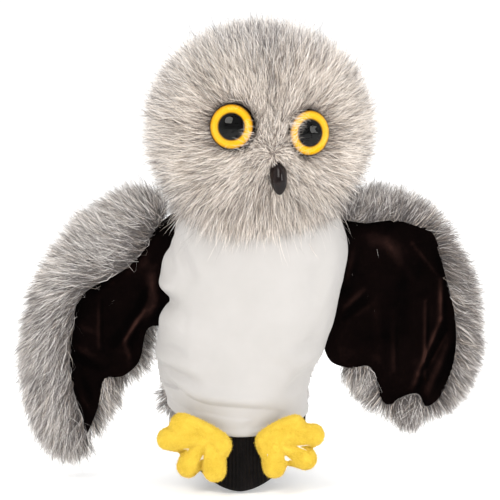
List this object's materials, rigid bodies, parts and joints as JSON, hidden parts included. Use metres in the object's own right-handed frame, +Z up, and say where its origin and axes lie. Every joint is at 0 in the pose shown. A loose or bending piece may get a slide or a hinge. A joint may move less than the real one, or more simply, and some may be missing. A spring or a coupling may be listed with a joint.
{
  "type": "owl glove puppet",
  "caption": "Plush owl glove puppet: fur head on a finger pocket, cloth belly over a hand sleeve, two lined fur wings, stuffed feet and a tail flap.",
  "frame": {"origin": "on the axis of the round hand opening, at the level where the cuff first closes into a full ring", "axes": "+Z up the sleeve towards the head, the owl's belly faces -Y, +X is to the viewer's right"},
  "size_m": [0.2866, 0.13, 0.2836],
  "materials": {
    "white_cloth": "matte",
    "grey_fur": "matte",
    "face_fur": "matte",
    "black_knit": "matte",
    "brown_velvet": "matte",
    "yellow_fleece": "matte",
    "stuffing": "matte",
    "clear_dome": "gloss",
    "amber_iris": "gloss",
    "black_plastic": "gloss",
    "white_plastic": "matte"
  },
  "bodies": {
    "torso": {"belly_panel": "white_cloth", "back_fur_panel": "grey_fur", "hand_sleeve": "black_knit", "cuff": "black_knit"},
    "neck": {"neck_sleeve": "black_knit"},
    "head": {"head_face_panel": "face_fur", "head_back_left_panel": "grey_fur", "head_back_right_panel": "grey_fur", "head_filling": "stuffing", "head_finger_pocket": "black_knit", "eye_left_lens": "clear_dome", "eye_left_iris": "amber_iris", "eye_left_washer": "white_plastic", "eye_right_lens": "clear_dome", "eye_right_iris": "amber_iris", "eye_right_washer": "white_plastic", "beak": "black_plastic", "beak_washer": "white_plastic"},
    "wing_left": {"wing_left_fur_panel": "grey_fur", "wing_left_lining": "brown_velvet", "wing_left_finger_pocket": "black_knit"},
    "wing_right": {"wing_right_fur_panel": "grey_fur", "wing_right_lining": "brown_velvet", "wing_right_finger_pocket": "black_knit"},
    "foot_left": {"foot_left_upper": "yellow_fleece", "foot_left_sole": "yellow_fleece", "foot_left_filling": "stuffing"},
    "foot_right": {"foot_right_upper": "yellow_fleece", "foot_right_sole": "yellow_fleece", "foot_right_filling": "stuffing"},
    "tail": {"tail_fur_panel": "grey_fur", "tail_lining": "brown_velvet"}
  },
  "joints": [
    {"name": "head_turn", "type": "hinge", "parent": "torso", "child": "neck", "pos_m": [0.0124, 0, 0.115], "axis": [0, 0, 1], "range_deg": [-60, 40]},
    {"name": "head_nod", "type": "hinge", "parent": "neck", "child": "head", "pos_m": [0.0124, 0, 0.145], "axis": [0.9848, 0.1736, 0], "range_deg": [-20, 20]},
    {"name": "wing_left_raise", "type": "hinge", "parent": "torso", "child": "wing_left", "pos_m": [-0.047, 0.005, 0.122], "axis": [0, 1, 0], "range_deg": [-5, 28]},
    {"name": "wing_right_raise", "type": "hinge", "parent": "torso", "child": "wing_right", "pos_m": [0.069, 0.005, 0.12], "axis": [0, -1, 0], "range_deg": [-5, 28]},
    {"name": "foot_left_swing", "type": "hinge", "parent": "torso", "child": "foot_left", "pos_m": [-0.02373, -0.04617, 0.01094], "axis": [-0.8704, 0.3168, 0.3768], "range_deg": [0, 60]},
    {"name": "foot_right_swing", "type": "hinge", "parent": "torso", "child": "foot_right", "pos_m": [0.02457, -0.04586, 0.01075], "axis": [-0.8609, -0.3133, -0.4008], "range_deg": [0, 60]},
    {"name": "tail_swing", "type": "hinge", "parent": "torso", "child": "tail", "pos_m": [-0.002, 0.0545, 0.054], "axis": [1, 0, 0], "range_deg": [0, 22]}
  ]
}
